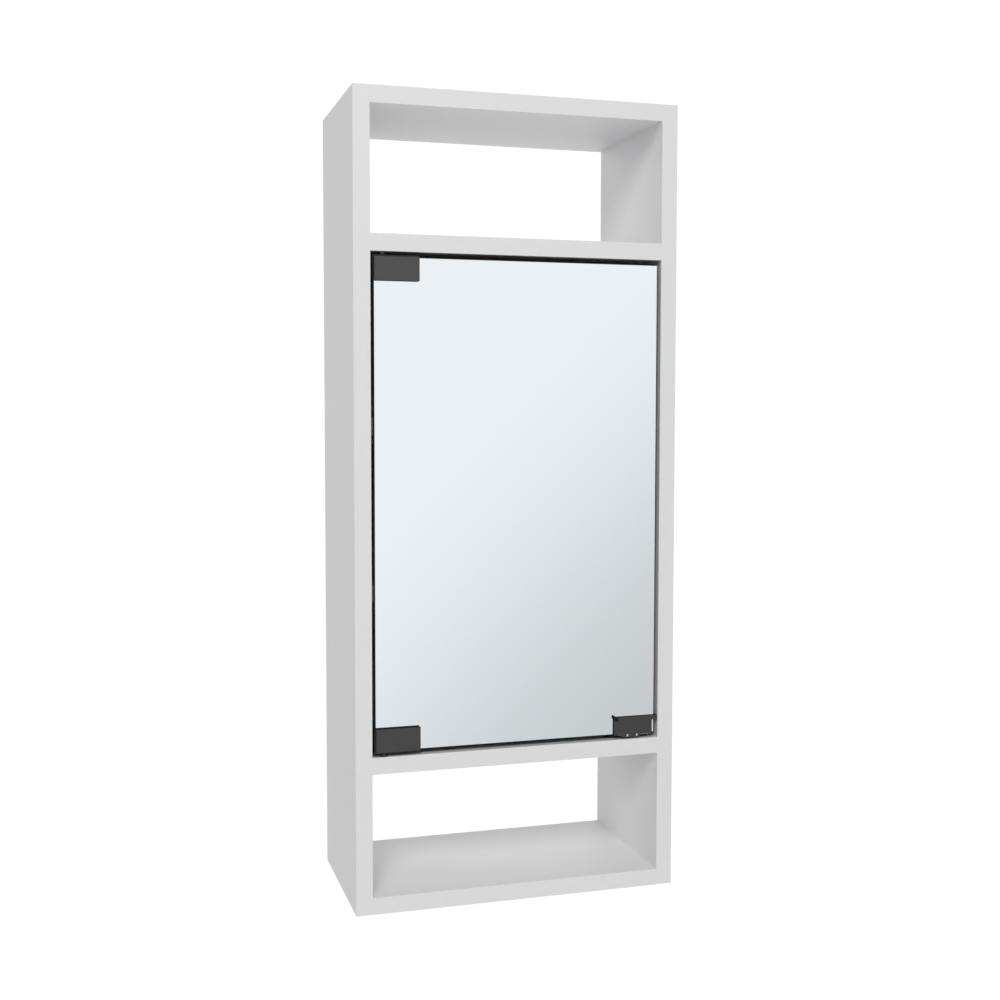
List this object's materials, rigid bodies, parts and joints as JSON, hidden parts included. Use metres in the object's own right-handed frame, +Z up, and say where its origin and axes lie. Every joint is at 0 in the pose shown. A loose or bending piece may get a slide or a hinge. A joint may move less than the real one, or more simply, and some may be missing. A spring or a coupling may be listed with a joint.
{
  "type": "hanging wall cabinet",
  "caption": "Tall narrow wall cabinet in white board with an open niche above and below a shelved compartment behind a hinged mirror glass door.",
  "frame": {"origin": "on the wall plane, midway between the two hanging screws, at the middle of the upper divider's back edge", "axes": "+Z up, -Y out of the wall towards the user, +X to the right as seen from the front"},
  "size_m": [0.3, 0.1561, 0.72],
  "materials": {
    "white_board": "satin white melamine film on particle board",
    "mirror_glass": "silvered float glass with a ground arris",
    "black_metal": "satin black coated zinc",
    "pad_rubber": "matt black",
    "zinc_steel": "bright zinc plate",
    "black_nylon": "matt moulded",
    "magnet_ferrite": "sintered, dark grey"
  },
  "bodies": {
    "carcass": {"back_panel": "white_board", "bottom_panel": "white_board", "cam_bolt_bottom_left": "zinc_steel", "cam_bolt_bottom_right": "zinc_steel", "cam_bolt_lower_divider_left": "zinc_steel", "cam_bolt_lower_divider_right": "zinc_steel", "cam_bolt_top_left": "zinc_steel", "cam_bolt_top_right": "zinc_steel", "cam_bolt_upper_divider_left": "zinc_steel", "cam_bolt_upper_divider_right": "zinc_steel", "cam_bottom_left": "zinc_steel", "cam_bottom_right": "zinc_steel", "cam_lower_divider_left": "zinc_steel", "cam_lower_divider_right": "zinc_steel", "cam_top_left": "zinc_steel", "cam_top_right": "zinc_steel", "cam_upper_divider_left": "zinc_steel", "cam_upper_divider_right": "zinc_steel", "catch_housing": "black_metal", "catch_magnet": "magnet_ferrite", "catch_screw_left": "zinc_steel", "catch_screw_right": "zinc_steel", "hanger_plate_left": "zinc_steel", "hanger_plate_right": "zinc_steel", "hanger_screw_left_lower": "zinc_steel", "hanger_screw_left_upper": "zinc_steel", "hanger_screw_right_lower": "zinc_steel", "hanger_screw_right_upper": "zinc_steel", "left_side_panel": "white_board", "lower_divider": "white_board", "lower_pivot_bush": "black_nylon", "lower_shelf": "white_board", "right_side_panel": "white_board", "shelf_support_lower_front_left": "zinc_steel", "shelf_support_lower_front_right": "zinc_steel", "shelf_support_lower_rear_left": "zinc_steel", "shelf_support_lower_rear_right": "zinc_steel", "shelf_support_upper_front_left": "zinc_steel", "shelf_support_upper_front_right": "zinc_steel", "shelf_support_upper_rear_left": "zinc_steel", "shelf_support_upper_rear_right": "zinc_steel", "top_panel": "white_board", "upper_divider": "white_board", "upper_pivot_bush": "black_nylon", "upper_shelf": "white_board"},
    "door": {"lower_hinge_back_pad": "pad_rubber", "lower_hinge_clamp": "black_metal", "lower_hinge_front_pad": "pad_rubber", "lower_hinge_grub_screw": "zinc_steel", "lower_pivot_pin": "black_metal", "mirror_glass": "mirror_glass", "pull_plate": "black_metal", "pull_screw_left": "zinc_steel", "pull_screw_right": "zinc_steel", "strike_plate": "zinc_steel", "upper_hinge_back_pad": "pad_rubber", "upper_hinge_clamp": "black_metal", "upper_hinge_front_pad": "pad_rubber", "upper_hinge_grub_screw": "zinc_steel", "upper_pivot_pin": "black_metal"}
  },
  "joints": [
    {"name": "door_hinge", "type": "hinge", "parent": "carcass", "child": "door", "pos_m": [-0.124, -0.146, -0.2275], "axis": [0, 0, -1], "range_deg": [0, 110]}
  ]
}
